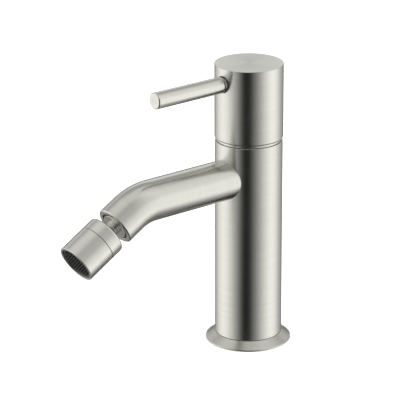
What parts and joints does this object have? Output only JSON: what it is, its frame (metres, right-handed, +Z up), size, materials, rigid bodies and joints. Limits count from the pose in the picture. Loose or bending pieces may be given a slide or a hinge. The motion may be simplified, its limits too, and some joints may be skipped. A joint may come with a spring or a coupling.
{
  "type": "bidet mixer",
  "caption": "Deck-mounted single-lever bidet mixer: round column, turning cap with pin lever, bent tube spout and a swivelling ball-jointed aerator head.",
  "frame": {"origin": "centre of the foot, on the plane that the mixer stands on", "axes": "+Z up along the column, the spout and the lever point along -Y, +X is on the right of a user who stands in front of the spout and looks along +Y"},
  "size_m": [0.0508, 0.159, 0.1717],
  "materials": {
    "satin_steel": "satin brushed stainless steel, fine lines round the turned shapes",
    "ring_steel": "darker satin steel",
    "bright_steel": "bright machined steel",
    "ball_steel": "fine satin, finer than the outside of the mixer",
    "mesh_steel": "dark woven wire",
    "brass": "machined",
    "rubber": "matt black",
    "black_plastic": "black, slightly glossy where turned",
    "cartridge_plastic": "grey moulded",
    "stop_plastic": "red moulded",
    "white_plastic": "white moulded",
    "disc_ceramic": "lapped"
  },
  "bodies": {
    "mixer": {"mixer_body": "satin_steel", "base_flange": "satin_steel", "base_gasket": "rubber", "glide_ring": "ring_steel", "spout_tube": "satin_steel", "spout_union": "brass", "spout_orings": "rubber", "spout_set_screw": "bright_steel", "ball_rear_seat": "black_plastic", "ball_oring": "rubber", "ball_retaining_ring": "satin_steel", "cartridge_base": "cartridge_plastic", "cartridge_seals": "rubber", "cartridge_housing": "cartridge_plastic", "fixed_disc": "disc_ceramic", "cartridge_nut": "brass", "stop_ring": "stop_plastic"},
    "handle": {"handle_cap": "satin_steel", "lever_rod": "satin_steel", "lever_bush": "black_plastic", "lever_stud": "bright_steel", "handle_adapter": "brass", "cartridge_stem": "brass", "stem_oring": "rubber", "disc_carrier": "cartridge_plastic", "thrust_washer": "white_plastic", "moving_disc": "disc_ceramic"},
    "seat": {"ball_seat": "black_plastic"},
    "ball": {"ball_stem": "ball_steel", "neck_oring": "rubber", "head_clip": "bright_steel"},
    "head": {"swivel_collar": "satin_steel", "aerator_housing": "satin_steel", "aerator_washer": "rubber", "flow_regulator": "white_plastic", "aerator_insert": "black_plastic", "aerator_mesh": "mesh_steel"}
  },
  "joints": [
    {"name": "handle_turn", "type": "hinge", "parent": "mixer", "child": "handle", "pos_m": [0, 0, 0.1273], "axis": [0, 0, 1], "range_deg": [0, 100]},
    {"name": "swivel_turn", "type": "hinge", "parent": "mixer", "child": "seat", "pos_m": [0, -0.09786, 0.095], "axis": [0, -0.866, -0.5], "continuous": true},
    {"name": "swivel_tilt", "type": "hinge", "parent": "seat", "child": "ball", "pos_m": [0, -0.09786, 0.095], "axis": [1, 0, 0], "range_deg": [-20, 20]},
    {"name": "head_spin", "type": "hinge", "parent": "ball", "child": "head", "pos_m": [0, -0.09786, 0.095], "axis": [0, -0.866, -0.5], "continuous": true}
  ]
}
